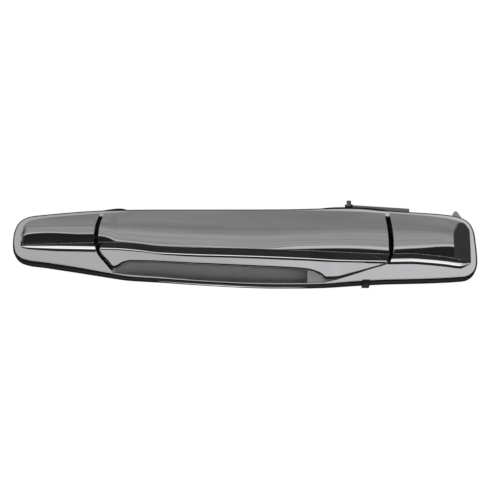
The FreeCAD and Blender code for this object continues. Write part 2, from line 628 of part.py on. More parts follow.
def make_crank():
    sleeve = rod_x(SLEEVE_R, SLEEVE_X[0], SLEEVE_X[1], CRANK_Y, CRANK_Z)
    arm = crank_link(LOBE_X[1] - 3.0, LOBE_X[1], ARM_R, REST_DEG, 6.0, 3.4)
    tip = crank_point(LOBE_X[0], ARM_R, REST_DEG)
    lobe = rod_x(LOBE_R, LOBE_X[0], LOBE_X[1], tip.y, tip.z)
    out_arm = crank_link(98.0, 101.0, OUT_ARM_R, OUT_ARM_DEG, 6.0, 4.6)
    weight_arm = crank_link(92.0, 94.5, WEIGHT_R, WEIGHT_DEG, 6.0, 4.0)
    crank = sleeve.fuse([arm, lobe, out_arm, weight_arm]).removeSplitter()
    crank = crank.cut(rod_x(BUSH_R, SLEEVE_X[0] - 1, SLEEVE_X[1] + 1, CRANK_Y, CRANK_Z))
    hole = crank_point(97.0, OUT_ARM_R, OUT_ARM_DEG)
    crank = crank.cut(rod_x(CLIP_R + RUNNING, 97.0, 102.0, hole.y, hole.z))
    pin = crank_point(91.0, WEIGHT_R, WEIGHT_DEG)
    return crank.cut(rod_x(1.5, 91.0, 96.0, pin.y, pin.z))


def make_spring():
    """Torsion spring round the crank's sleeve with one tail on the chassis and one on the crank's arm."""
    coil_r = 6.4
    wire_r = 0.7
    pitch = 1.9
    turns = 8.25
    helix = Part.makeHelix(pitch, pitch * turns, coil_r)
    helix.Placement = FreeCAD.Placement(V(66.0, CRANK_Y, CRANK_Z), FreeCAD.Rotation(V(0, 0, 1), V(1, 0, 0)))
    path = helix.Edges[0]
    start = path.valueAt(path.FirstParameter)
    ahead = path.tangentAt(path.FirstParameter)
    ring = Part.Wire([Part.Circle(start, ahead, wire_r).toShape()])
    coil = Part.Wire([path]).makePipeShell([ring], True, True)
    stop = path.valueAt(path.LastParameter)
    leave = path.tangentAt(path.LastParameter)
    tail_a = Part.makeCylinder(wire_r, 8.0, start, ahead * -1)
    tail_b = Part.makeCylinder(wire_r, 8.0, stop, leave)
    balls = [Part.makeSphere(wire_r, start), Part.makeSphere(wire_r, stop)]
    return coil.fuse([tail_a, tail_b] + balls)


def make_rod_clip():
    """Swivelling plastic clip: a stub in the crank's arm and a snap arm that takes the latch rod."""
    spot = crank_point(0.0, OUT_ARM_R, OUT_ARM_DEG)
    stub = rod_x(CLIP_R, 97.0, 101.3, spot.y, spot.z)
    barb = Part.makeCone(CLIP_R + 0.6, CLIP_R - 0.3, 1.8, V(101.3, spot.y, spot.z), V(1, 0, 0))
    head = rod_x(5.0, 95.0, 97.7, spot.y, spot.z)
    snap = box(95.0, 97.7, spot.y - 2.4, spot.y + 2.4, spot.z, spot.z + 15.0)
    hook = box(95.0, 99.4, spot.y - 2.4, spot.y + 2.4, spot.z + 12.0, spot.z + 15.0)
    hook = hook.fuse(box(98.2, 101.6, spot.y - 1.6, spot.y + 1.6, spot.z + 12.0, spot.z + 15.0))
    clip = stub.fuse([barb, head, snap, hook]).removeSplitter()
    return clip.cut(rod_x(ROD_R, 90.0, 110.0, spot.y, spot.z))


# ---- small parts -------------------------------------------------------------------------------

def ring_clip(shaft_r, outer_r, thick, centre, axis, opening):
    """Snap ring: a flat ring with a gap, pressed on a shaft."""
    ring = Part.makeCylinder(outer_r, thick, centre, axis).cut(
        Part.makeCylinder(shaft_r, thick, centre, axis))
    return ring.cut(opening)


def make_pin():
    pin = rod_z(PIN_R, HINGE_Z0 - 0.2, HINGE_Z1 + 1.6, HINGE_X, HINGE_Y)
    return pin.fuse(rod_z(3.2, HINGE_Z0 - 1.0, HINGE_Z0, HINGE_X, HINGE_Y)).removeSplitter()


def make_shaft():
    shaft = rod_x(SHAFT_R, CHEEKS[0][0] - 0.2, CHEEKS[1][1] + 1.8, CRANK_Y, CRANK_Z)
    return shaft.fuse(rod_x(4.2, CHEEKS[0][0] - 1.8, CHEEKS[0][0], CRANK_Y, CRANK_Z)).removeSplitter()


def gap_pad(wall, strap):
    """Thin foam strip on the recess's floor, under the gap beside the strap's end."""
    side = 1.0 if strap[0][0] > wall[0][0] else -1.0
    outer = [(x + 0.1 * side, z) for x, z in wall]
    inner = [(x - 0.2 * side, z) for x, z in strap]
    return smooth_prism([outer, inner[::-1]], FLOOR_Y - PAD_T, FLOOR_Y)


def make_edge_clip():
    """Small spring clip hooked over the bottom edge of the chassis rim and the gasket."""
    x0 = 76.2
    x1 = 81.0
    z = -25.2
    spine = box(x0, x1, FLANGE_Y - 0.9, -0.2, z - 1.2, z)
    hook = box(x0, x1, FLANGE_Y - 0.9, FLANGE_Y - 0.1, z - 1.2, -23.2)
    return spine.fuse(hook).removeSplitter()


def make_bracket():
    """Pressed steel strip along the top edge, behind the chassis rim."""
    slab = prism([(66.0, 23.0), (66.0, 27.2), (70.5, 28.6), (108.3, 26.1), (108.3, 21.0), (90.0, 21.6),
                  (75.0, 23.2)], PLATE_FRONT + 0.1, PLATE_FRONT + 2.2)
    slab = slab.cut(rim_bumps(FLANGE_BACK, PLATE_BACK + 1, 0.05))
    return slab.cut(outline_slab(RIM_GROW, FLANGE_BACK, PLATE_BACK + 1)).cut(make_bracket_stud())


def make_bracket_stud():
    stud = rod_z(1.5, 26.2, 31.6, 68.6, PLATE_FRONT + 1.1)
    collar = rod_z(2.7, 27.4, 28.8, 68.6, PLATE_FRONT + 1.1)
    return stud.fuse(collar).removeSplitter()


def make_tab():
    """Plated locating tab above the top right corner."""
    y0 = PLATE_FRONT + 0.4
    tab = prism([(136.8, 17.0), (136.8, 22.4), (138.2, 24.4), (139.8, 24.2), (142.4, 20.4), (142.4, 16.0)],
                y0, y0 + 1.6)
    return tab.cut(outline_slab(RIM_GROW, FLANGE_BACK, PLATE_BACK + 1))


def build():
    parts = {}
    parts["bezel"] = make_bezel()
    parts["chassis"] = make_chassis()
    parts["seal_gasket"] = make_gasket()
    parts["handle_shell"] = make_shell()
    parts["handle_core"] = make_core()
    parts["pivot_leg"] = make_pivot_leg()
    parts["pull_leg"] = make_pull_leg()
    eye0 = HINGE_Z0 + EAR_T + 0.4
    eye1 = HINGE_Z1 - EAR_T - 0.4
    bush = rod_z(PIN_R + 1.0, eye0, eye1, HINGE_X, HINGE_Y)
    parts["pivot_bush"] = bush.cut(rod_z(PIN_R + RUNNING, eye0 - 1, eye1 + 1, HINGE_X, HINGE_Y))
    parts["pivot_pin"] = make_pin()
    mouth = box(HINGE_X - 1.4, HINGE_X + 1.4, HINGE_Y, 5, HINGE_Z1 - 1, HINGE_Z1 + 2)
    parts["pivot_pin_clip"] = ring_clip(PIN_R, 3.0, 0.8, V(HINGE_X, HINGE_Y, HINGE_Z1), V(0, 0, 1), mouth)
    for name, x in zip(("core_screw_front", "core_screw_rear"), CORE_SCREWS):
        parts[name] = screw(x, SCREW_Z, FLANGE_Y + CORE_BACK - 1.2, 7.4, 1.2, 3.0, 1.6, 1)
    parts["bell_crank"] = make_crank()
    bush = rod_x(BUSH_R, SLEEVE_X[0], SLEEVE_X[1], CRANK_Y, CRANK_Z)
    bore = rod_x(SHAFT_R + RUNNING, SLEEVE_X[0] - 1, SLEEVE_X[1] + 1, CRANK_Y, CRANK_Z)
    parts["crank_bush"] = bush.cut(bore)
    parts["crank_shaft"] = make_shaft()
    end = CHEEKS[1][1]
    mouth = box(end - 1, end + 3, CRANK_Y - 1.7, CRANK_Y + 1.7, CRANK_Z, CRANK_Z + 9)
    parts["crank_shaft_clip"] = ring_clip(SHAFT_R, 4.4, 0.9, V(end, CRANK_Y, CRANK_Z), V(1, 0, 0), mouth)
    weight_at = crank_point(0.0, WEIGHT_R, WEIGHT_DEG)
    weight = rod_x(4.3, 94.5, 97.4, weight_at.y, weight_at.z)
    parts["counterweight"] = weight.cut(rod_x(1.5, 94.0, 98.0, weight_at.y, weight_at.z))
    rivet = rod_x(1.5, 91.2, 97.4, weight_at.y, weight_at.z)
    rivet = rivet.fuse([rod_x(2.6, 91.2, 92.0, weight_at.y, weight_at.z),
                        rod_x(2.6, 97.4, 98.1, weight_at.y, weight_at.z)])
    parts["counterweight_rivet"] = rivet.removeSplitter()
    parts["return_spring"] = make_spring()
    parts["rod_clip"] = make_rod_clip()
    for name, x in (("insert_front", -BOLT_X), ("insert_rear", BOLT_X)):
        sleeve = rod_y(INSERT_R, FLANGE_BACK + 1.2, 0.0, x, 0.0)
        parts[name] = sleeve.cut(rod_y(BOLT_R, FLANGE_BACK + 1.0, 1.0, x, 0.0))
    for name, (x, z) in zip(("chassis_screw_front", "chassis_screw_rear"), BEZEL_SCREWS):
        parts[name] = screw(x, z, PLATE_BACK, 7.0, 1.2, 3.0, 1.6, 1)
    for name, x in (("rest_bumper_front", -58.0), ("rest_bumper_rear", 56.5)):
        parts[name] = rod_y(2.4, FLANGE_Y + CORE_BACK, FLOOR_Y - 0.05, x, 14.4)
    parts["gap_pad_front"] = gap_pad(LEFT_EDGE, STRAP_LEFT)
    parts["gap_pad_rear"] = gap_pad(RIGHT_EDGE[4:], STRAP_RIGHT[4:])
    parts["edge_clip"] = make_edge_clip()
    parts["guide_bracket"] = make_bracket()
    parts["bracket_stud"] = make_bracket_stud()
    parts["locating_tab"] = make_tab()
    return parts


os.makedirs("parts", exist_ok=True)
for node, shape in build().items():
    solids = shape.Solids
    print(node, "solids", len(solids), "valid", shape.isValid(), "volume", round(shape.Volume, 1))
    if len(solids) == 1:
        shape = solids[0]
    shape.exportStep("parts/" + node + ".step")
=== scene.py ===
import json
import math

import bmesh
import bpy
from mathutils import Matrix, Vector
from mathutils.geometry import tessellate_polygon


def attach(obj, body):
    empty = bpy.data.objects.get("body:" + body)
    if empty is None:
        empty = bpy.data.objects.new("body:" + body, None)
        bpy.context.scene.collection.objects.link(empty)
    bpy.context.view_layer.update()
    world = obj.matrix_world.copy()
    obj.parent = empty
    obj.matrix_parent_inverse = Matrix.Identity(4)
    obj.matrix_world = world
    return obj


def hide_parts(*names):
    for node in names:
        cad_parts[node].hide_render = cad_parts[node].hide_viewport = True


# Looks of the car door handle. Shapes are worked out in millimetres in the part's own frame
# (X along the handle, Y into the door, Z up) and turned into metres when a mesh is made.
# "Out" is the distance in front of the flange's front face.

MM = 0.001

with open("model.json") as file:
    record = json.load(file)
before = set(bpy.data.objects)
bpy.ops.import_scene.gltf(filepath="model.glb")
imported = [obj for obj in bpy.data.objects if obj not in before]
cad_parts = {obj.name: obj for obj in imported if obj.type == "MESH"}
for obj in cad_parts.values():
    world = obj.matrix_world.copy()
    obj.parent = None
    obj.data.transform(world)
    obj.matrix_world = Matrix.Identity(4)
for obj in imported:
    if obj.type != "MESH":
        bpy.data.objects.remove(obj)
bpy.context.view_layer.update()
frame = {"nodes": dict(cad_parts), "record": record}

# ---- sizes, as in the part -------------------------------------------------------------------------

FLANGE_Y = -11.0  # flange's front face
FLANGE_BACK = -9.4
FLOOR_Y = -7.0  # floor of the recess behind the strap
OPEN_TOP = 19.4  # top of the opening in the flange
UNDER_DEG = 7.0  # slope of the undersides of the strap and the pods
FACE_FALL = 0.2  # how strongly a front face falls away below its peak
SHELL_WALL = 2.2
STRAP_LIFT = 0.5  # how far the strap's top edge stands in front of the flange
STRAP_TIP_X = -83.0  # forward of here the strap's top edge lifts more, so that it can swing
STRAP_TIP_SLOPE = 0.15
REST_TOP = 18.6  # above this height the strap stays in front of the flange
STRAP_BAND_Y = FLANGE_Y + 0.4  # back edge of the band along the top of the strap
STRAP_BAND_DROP = 2.0
FACET_BACK_RISE = 4.0  # how far the back of the facet goes up behind the crease
CUP_WALL = 1.4
CUP_TOP = 13.5
CUP_BACK_START = FLANGE_BACK + 4.0  # where the outside of the cup's wall begins
POD_END_LEFT = -146.2
POD_END_RIGHT = 146.8
POD_ROOT = 0.2  # how deep a pod's far end goes down into the flange
HINGE_WINDOW_X = (-93.0, -76.5)
HINGE_WINDOW_Z = (-8.5, 16.0)
PULL_WINDOW_X = (75.5, 84.0)
PULL_WINDOW_Z = (-3.7, 13.7)

# ---- roundings, set for how they look --------------------------------------------------------------

EDGE_R = 0.3  # flange's outer edge
RIM_R = 0.1  # edge of the opening in the flange
RIM_THIN = 0.6  # how much lower than in the part the opening's edge runs under the cup
LIP_R = 0.1  # lower lip of the strap and the pods
POD_FILLET = 2.4
STRAP_FILLET = 0.6
GAP_EDGE_R = 0.4  # edges of the strap and the pods at the two gaps
FACET_R = 0.12  # lower edge of the strap
LIP_SHARE = 0.3  # a lip's radius is at most this share of the underside's depth
FOOT_SHARE = 0.4  # a fillet is at most this share of what the lip leaves
POD_FILLET_SHARE = 0.3  # a pod's fillet is at most this share of its height

# ---- fineness of the meshes ------------------------------------------------------------------------

FACE_STEPS = 44
LIP_STEPS = 16
FILLET_POINTS = 12
UNDERSIDE_STOPS = (0.33, 0.67)
END_STEPS = 5
EDGE_STEPS = 5
RIM_STEPS = 4
FACET_STEPS = 5
CURVE_STEPS = 6
SIDE_CURVE_STEPS = 5
OPEN_TOP_STEPS = 24
STRAP_COLUMNS = 260
POD_COLUMNS = 110
CUP_COLUMNS = 70
CUP_BACK_COLUMNS = 50
SETTLE_ROUNDS = 3  # passes that bring the columns' ends onto the slanted gap edges
LEFT_GUESS_X = -94.0  # where those passes start for the strap's two ends
RIGHT_GUESS_X = 92.0
MERGE_GAP = 0.004  # points closer than this are joined
SHORTEST_EDGE = 0.002
SLIVER = 0.001  # keeps the facet's two end columns apart from the strap's
FACET_LEAST = 0.02  # least height of the strap's facet, where it runs out at both ends
POD_EASE = 0.35  # how much closer together a pod's columns are at both ends
CUP_EASE = 0.6
SHARP_DEG = 32.0

# ---- outlines, (x, z) ------------------------------------------------------------------------------

OUTLINE = [
    (-150.7, 3.0), (-149.9, 9.5), (-147.3, 15.0), (-142.0, 18.3), (-130.0, 20.0), (-113.0, 21.6),
    (-95.0, 22.8), (-70.0, 23.4), (-20.0, 23.5), (30.0, 23.7), (62.0, 24.5), (76.0, 24.3),
    (90.0, 23.0), (110.0, 21.6), (130.0, 20.1), (141.0, 18.1), (146.3, 14.6), (148.8, 9.5),
    (149.9, 1.0), (150.4, -7.0), (150.2, -13.0), (148.6, -17.4), (144.8, -20.3), (138.0, -21.3),
    (115.0, -22.4), (90.0, -23.0), (70.0, -24.1), (52.0, -25.6), (34.0, -26.0), (8.0, -25.8),
    (-25.0, -24.2), (-55.0, -22.1), (-77.0, -20.5), (-89.0, -18.4), (-110.0, -14.6),
    (-130.0, -11.5), (-141.0, -10.0), (-146.6, -8.1), (-149.6, -4.8),
]
LEFT_EDGE = [(-95.2, OPEN_TOP), (-96.5, 13.0), (-97.2, 7.0), (-97.5, 0.0), (-97.0, -3.8),
             (-94.9, -7.6), (-91.5, -11.6), (-88.2, -15.6)]
CUP_RIM = [(-85.4, -18.0), (-77.0, -19.1), (-55.0, -20.8), (-25.0, -23.2), (8.0, -24.7),
           (34.0, -24.9), (50.5, -24.5)]
RIGHT_EDGE = [(58.9, -23.3), (68.7, -20.3), (81.7, -16.0), (92.9, -12.3), (95.2, -9.6),
              (95.7, 0.0), (95.4, 10.0), (94.6, OPEN_TOP)]
STRAP_LEFT = [(-92.5, OPEN_TOP), (-93.8, 13.0), (-94.6, 7.0), (-94.9, 0.0), (-94.5, -3.8),
              (-92.2, -7.6), (-88.8, -11.6), (-85.6, -15.9)]
STRAP_LOW = [(-83.2, -15.2), (-80.0, -12.8), (-74.3, -11.2), (-62.0, -11.3), (-42.0, -12.5), (-16.0, -13.9),
             (10.0, -15.2), (30.0, -16.1), (40.0, -17.0), (46.5, -18.9), (50.2, -21.0), (52.4, -23.2)]
STRAP_RIGHT = [(58.8, -22.9), (68.6, -20.0), (81.6, -15.7), (91.9, -12.1), (92.6, -9.6),
               (92.7, 0.0), (92.4, 10.0), (91.6, OPEN_TOP)]

# x of the borders between the columns of the recess floor
FLOOR_BREAKS = [
    -97.5, -95.0, -93.0, -90.0, -87.0, -84.0, -80.0, -76.5, -60.0, -40.0, -20.0, 0.0, 20.0, 40.5,
    45.0, 52.0, 58.0, 65.0, 70.0, 75.5, 84.0, 88.0, 92.0, 95.4,
]

# ---- sections, (x, value) --------------------------------------------------------------------------
# TOP is the z of the top edge and CREASE the z where the form meets the flange. HEIGHT is how far it
# stands out. PEAK is the place of the face's highest point, as a share of the way down it. BOW is how far
# the strap's facet below the crease stands in front of the flange.

TOP_LEFT = [(-146.0, 8.6), (-144.6, 13.0), (-141.5, 15.8), (-136.9, 17.1), (-130.0, 18.3),
            (-120.0, 19.3), (-97.0, 21.2)]
TOP_STRAP = [(-95.0, 20.6), (-85.0, 21.8), (-73.0, 22.9), (-50.0, 23.3), (36.0, 23.3), (47.0, 23.2),
             (75.0, 22.4), (93.0, 21.0)]
TOP_RIGHT = [(95.0, 21.6), (114.0, 20.2), (130.0, 18.3), (138.0, 16.6), (143.4, 14.6), (146.6, 10.5)]
CREASE_LEFT = [(-146.0, -0.9), (-141.0, -1.3), (-127.0, -1.7), (-97.0, -2.3)]
CREASE_STRAP = [(-95.0, -2.2), (-82.0, -2.6), (-70.0, -3.7), (-55.0, -5.7), (-29.0, -7.1), (-16.0, -7.5),
                (23.0, -8.8), (42.0, -9.5), (62.0, -10.3), (93.0, -11.0)]
CREASE_RIGHT = [(95.0, -10.6), (107.0, -10.4), (120.0, -11.2), (130.0, -12.2), (140.0, -13.4),
                (146.6, -12.2)]
HEIGHT_LEFT = [(-146.0, 1.2), (-144.6, 3.4), (-141.5, 5.0), (-130.0, 7.0), (-97.0, 11.0)]
HEIGHT_STRAP = [(-95.0, 11.2), (-70.0, 13.2), (-30.0, 15.8), (5.0, 16.6), (45.0, 15.8), (93.0, 13.4)]
HEIGHT_RIGHT = [(95.0, 13.2), (120.0, 12.4), (134.0, 11.6), (138.0, 10.4), (142.0, 6.4), (146.6, 1.2)]
PEAK_LEFT = [(-146.0, 0.56), (-127.0, 0.61), (-107.0, 0.70), (-97.0, 0.72)]
PEAK_STRAP = [(-95.0, 0.76), (-89.0, 0.82), (-81.5, 0.95), (-65.0, 0.98), (-29.0, 0.98), (9.0, 1.02),
              (36.0, 0.93), (75.0, 0.87), (93.0, 0.88)]
PEAK_RIGHT = [(95.0, 0.87), (110.0, 0.84), (127.0, 0.75), (134.0, 0.72), (146.6, 0.70)]
BOW_STRAP = [(-95.0, 0.0), (-80.0, 0.0), (-40.0, 1.8), (0.0, 2.4), (40.0, 1.4), (62.0, 0.0), (93.0, 0.0)]

# depth of the finger cup behind the recess floor
CUP_DEEP = [(-84.0, 5.0), (-78.0, 11.0), (-66.0, 17.5), (-45.0, 21.5), (-18.0, 23.0), (10.0, 22.5),
            (29.0, 20.5), (40.5, 17.5)]


# ---- curves ----------------------------------------------------------------------------------------

def along(table, x):
    """Value at x of the smooth, never overshooting curve through a table of (x, value)."""
    xs = [row[0] for row in table]
    ys = [row[1] for row in table]
    n = len(xs)
    if x <= xs[0]:
        return ys[0]
    if x >= xs[-1]:
        return ys[-1]
    steps = [(ys[i + 1] - ys[i]) / (xs[i + 1] - xs[i]) for i in range(n - 1)]
    slopes = [steps[0]]
    for i in range(1, n - 1):
        if steps[i - 1] * steps[i] <= 0:
            slopes.append(0.0)
        else:
            slopes.append(2 * steps[i - 1] * steps[i] / (steps[i - 1] + steps[i]))
    slopes.append(steps[-1])
    i = max(k for k in range(n - 1) if xs[k] <= x)
    h = xs[i + 1] - xs[i]
    t = (x - xs[i]) / h
    a = ys[i] * (1 + 2 * t) * (1 - t) ** 2 + slopes[i] * h * t * (1 - t) ** 2
    b = ys[i + 1] * t * t * (3 - 2 * t) + slopes[i + 1] * h * t * t * (t - 1)
    return a + b


def smooth_run(points, steps, closed=False):
    """Points along a smooth curve through the given (a, b) points."""
    n = len(points)
    found = []
    for i in range(n if closed else n - 1):
        picks = [(i + k - 1) % n if closed else min(max(i + k - 1, 0), n - 1) for k in range(4)]
        p0, p1, p2, p3 = (points[k] for k in picks)
        d01, d12, d23 = (max(math.dist(a, b), 1e-6) ** 0.5 for a, b in ((p0, p1), (p1, p2), (p2, p3)))
        for s in range(steps):
            t = s / steps
            value = []
            for k in range(2):
                m1 = p2[k] - p1[k]
                m2 = m1
                if p0 != p1:
                    m1 = d12 * ((p1[k] - p0[k]) / d01 - (p2[k] - p0[k]) / (d01 + d12) + (p2[k] - p1[k]) / d12)
                if p2 != p3:
                    m2 = d12 * ((p2[k] - p1[k]) / d12 - (p3[k] - p1[k]) / (d12 + d23) + (p3[k] - p2[k]) / d23)
                a = p1[k] * (1 + 2 * t) * (1 - t) ** 2 + m1 * t * (1 - t) ** 2
                b = p2[k] * t * t * (3 - 2 * t) + m2 * t * t * (t - 1)
                value.append(a + b)
            found.append(tuple(value))
    if not closed:
        found.append(points[-1])
    return found


def moved_loop(loop, out):
    """Closed loop of (x, z) points, clockwise, moved outwards."""
    n = len(loop)
    moved = []
    for i in range(n):
        ax, az = loop[i - 1]
        bx, bz = loop[(i + 1) % n]
        length = max(math.hypot(bx - ax, bz - az), 1e-9)
        moved.append((loop[i][0] - (bz - az) / length * out, loop[i][1] + (bx - ax) / length * out))
    return moved


def bez(p0, p1, p2, count):
    """Points of a quadratic curve, both ends included."""
    found = []
    for k in range(count):
        t = k / (count - 1)
        found.append(tuple(p0[i] * (1 - t) ** 2 + 2 * p1[i] * t * (1 - t) + p2[i] * t * t for i in range(2)))
    return found


def section(top, top_out, height, crease, crease_out, peak, fillet):
    """(z, out) points of a raised form's front: the face, the lip, the underside and the fillet."""
    radius = min(LIP_R, LIP_SHARE * (height - crease_out))
    slope = math.radians(UNDER_DEG)
    reach = height - radius - crease_out
    low = crease + (radius + reach * math.sin(slope)) / math.cos(slope)
    span = top - low
    bend = math.pi / 2 / peak
    scale = 1.0 if peak <= 1.0 else math.sin(bend)
    rows = []
    for k in range(FACE_STEPS + 1):
        t = k / FACE_STEPS
        if t <= peak:
            f = math.sin(bend * t) / scale
            rise = bend * math.cos(bend * t) / scale
        else:
            f = 1.0 - FACE_FALL * bend * bend * (t - peak) ** 2
            rise = -2 * FACE_FALL * bend * bend * (t - peak)
        rows.append((top - span * t, top_out + (height - top_out) * f))
    tilt = math.atan(rise * (height - top_out) / span)
    face_z, face_out = rows[-1]
    centre_z = face_z - radius * math.sin(tilt)
    centre_out = face_out - radius * math.cos(tilt)
    end = slope - math.pi / 2
    for k in range(1, LIP_STEPS + 1):
        a = tilt + (end - tilt) * k / LIP_STEPS
        rows.append((centre_z + radius * math.sin(a), centre_out + radius * math.cos(a)))
    foot = min(fillet, FOOT_SHARE * reach)
    near = (crease + foot * math.sin(slope), crease_out + foot * math.cos(slope))
    lip_z, lip_out = rows[-1]
    for share in UNDERSIDE_STOPS:
        rows.append((lip_z + (near[0] - lip_z) * share, lip_out + (near[1] - lip_out) * share))
    rows += bez(near, (crease, crease_out), (crease - foot, crease_out), FILLET_POINTS)
    return rows


# ---- mesh making -----------------------------------------------------------------------------------

class Skin:
    """Collects patches of one piece and makes its mesh."""

    def __init__(self):
        self.verts = []
        self.faces = []

    def point(self, x, y, z):
        self.verts.append((x * MM, y * MM, z * MM))
        return len(self.verts) - 1

    def grid(self, rows, flip=False):
        """Quads over rows of (x, y, z) points."""
        ids = [[self.point(*p) for p in row] for row in rows]
        for a, b in zip(ids, ids[1:]):
            for i in range(len(a) - 1):
                face = (a[i], a[i + 1], b[i + 1], b[i])
                self.faces.append(face[::-1] if flip else face)

    def strip(self, loops, flip=False):
        """Quads between closed loops of points."""
        self.grid([loop + loop[:1] for loop in loops], flip)

    def plate(self, y, loops, flip=False):
        """Flat plate at depth y inside the first (x, z) loop and outside the others."""
        sets = [[Vector((x, z, 0.0)) for x, z in loop] for loop in loops]
        flat = [p for loop in loops for p in loop]
        ids = [self.point(x, y, z) for x, z in flat]
        for tri in tessellate_polygon(sets):
            a, b, c = (flat[i] for i in tri)
            turn = (b[0] - a[0]) * (c[1] - a[1]) - (b[1] - a[1]) * (c[0] - a[0])
            if abs(turn) < 1e-9:
                continue
            face = [ids[i] for i in tri]
            if (turn > 0) == flip:
                face.reverse()
            self.faces.append(tuple(face))

    def make(self, name):
        """Object of the collected patches, joined where they meet and smooth up to the sharp angle."""
        mesh = bpy.data.meshes.new(name)
        mesh.from_pydata(self.verts, [], self.faces)
        work = bmesh.new()
        work.from_mesh(mesh)
        bmesh.ops.remove_doubles(work, verts=work.verts, dist=MERGE_GAP * MM)
        bmesh.ops.dissolve_degenerate(work, edges=work.edges, dist=SHORTEST_EDGE * MM)
        work.to_mesh(mesh)
        work.free()
        mesh.polygons.foreach_set("use_smooth", [True] * len(mesh.polygons))
        mesh.set_sharp_from_angle(angle=math.radians(SHARP_DEG))
        obj = bpy.data.objects.new(name, mesh)
        bpy.context.scene.collection.objects.link(obj)
        return obj


def at_z(edge, z):
    """x of an edge curve of (x, z) points at height z."""
    table = sorted((row[1], row[0]) for row in edge)
    return along(table, z)


def rounded_end(x_edge, z, out, y_wall, toward):
    """Points that round a raised form's cut end over into its wall.

    toward is +1 when the solid lies at larger x than the edge.
    """
    found = []
    for k in range(END_STEPS + 1):
        a = math.pi / 2 * k / END_STEPS
        x = x_edge + toward * GAP_EDGE_R * (1 - math.sin(a))
        y = FLANGE_Y - out + GAP_EDGE_R * (1 - math.cos(a))
        found.append((x, y, z))
    found.append((x_edge, y_wall, z))
    return found


def rounded_rings(loop, radius, way, steps):
    """Rings that round a flange edge over from the front face. way is +1 when they start outside the loop."""
    rings = []
    for k in range(steps + 1):
        a = math.pi / 2 * k / steps
        y = FLANGE_Y + radius * (1 - math.cos(a))
        rings.append([(x, y, z) for x, z in moved_loop(loop, way * radius * (1 - math.sin(a)))])
    return rings


# ---- frame -----------------------------------------------------------------------------------------

def pod_rows(x, tables):
    top, height, crease, peak = (along(table, x) for table in tables)
    return section(top, 0.0, height, crease, 0.0, peak, min(POD_FILLET, POD_FILLET_SHARE * height))


def pod_patch(skin, tables, x_far, edge, toward):
    """One pod, from its far end to the gap beside the strap.

    toward is +1 when the pod lies at larger x than the gap.
    """
    count = len(pod_rows(x_far, tables))
    x_gap = [at_z(edge, 0.0)] * count
    for _ in range(SETTLE_ROUNDS):
        for v in range(count):
            z, _ = pod_rows(x_gap[v], tables)[v]
            x_gap[v] = at_z(edge, z)
    rows = []
    for c in range(POD_COLUMNS + 1):
        u = c / POD_COLUMNS
        s = u * u * (3 - 2 * u) * POD_EASE + u * (1 - POD_EASE)
        row = []
        for v in range(count):
            x_end = x_gap[v] + toward * GAP_EDGE_R
            x = x_far + (x_end - x_far) * s
            z, out = pod_rows(x, tables)[v]
            row.append((x, FLANGE_Y - out, z))
        rows.append(row)
    ends = []
    for v in range(count):
        z, out = pod_rows(x_gap[v] + toward * GAP_EDGE_R, tables)[v]
        ends.append(rounded_end(x_gap[v], z, out, FLANGE_Y, toward))
    for k in range(1, len(ends[0])):
        rows.append([end[k] for end in ends])
    root = [(x, FLANGE_Y + POD_ROOT, z) for x, _, z in rows[0]]
    skin.grid([root] + rows, flip=toward > 0)


def opening_loop():
    """Outline of the opening in the flange."""
    left = smooth_run(LEFT_EDGE, SIDE_CURVE_STEPS)
    low = smooth_run([(x, z - RIM_THIN) for x, z in CUP_RIM], CURVE_STEPS)
    right = smooth_run(RIGHT_EDGE, SIDE_CURVE_STEPS)
    x0 = RIGHT_EDGE[-1][0]
    x1 = LEFT_EDGE[0][0]
    top = [(x0 + (x1 - x0) * k / OPEN_TOP_STEPS, OPEN_TOP) for k in range(1, OPEN_TOP_STEPS)]
    return (left + low + right + top)[::-1]


def cup_rows(grow, x):
    """(y, z) points round the finger cup at x, from its lower rim to its top."""
    rim = along(CUP_RIM, x) - grow
    deep = along(CUP_DEEP, x) + grow
    top = CUP_TOP + grow
    mid = (rim + top) / 2
    # in from the lower rim, up and back to the deepest place, then up and forward to the top
    points = [(FLOOR_Y - 1.0, rim), (FLOOR_Y, rim), (FLOOR_Y + 0.36 * deep, rim + 1.6),
              (FLOOR_Y + 0.78 * deep, rim + 7.0), (FLOOR_Y + deep, mid + 1.0),
              (FLOOR_Y + 0.86 * deep, mid + 9.0), (FLOOR_Y + 0.4 * deep, top - 1.2), (FLOOR_Y, top)]
    return smooth_run(points, CURVE_STEPS)


def cup_patch(skin, grow, columns):
    """The cup's inner surface, or its outer one when grow is the wall's thickness."""
    x_first = CUP_DEEP[0][0]
    x_last = CUP_DEEP[-1][0]
    x0 = x_first - grow
    x1 = x_last + grow
    rows = []
    for c in range(columns + 1):
        u = c / columns
        eased = 0.5 - 0.5 * math.cos(math.pi * u)
        x = x0 + (x1 - x0) * eased * CUP_EASE + (x1 - x0) * u * (1 - CUP_EASE)
        ring = cup_rows(grow, min(max(x, x_first), x_last))
        if grow:
            ring = [(max(y, CUP_BACK_START), z) for y, z in ring]
        rows.append([(x, y, z) for y, z in ring])
    skin.grid(rows, flip=grow == 0)
    for row, flip in ((rows[0], grow != 0), (rows[-1], grow == 0)):
        middle = (row[0][0], FLOOR_Y, 0.5 * (row[0][2] + row[-1][2]))
        skin.grid([row, [middle] * len(row)], flip)


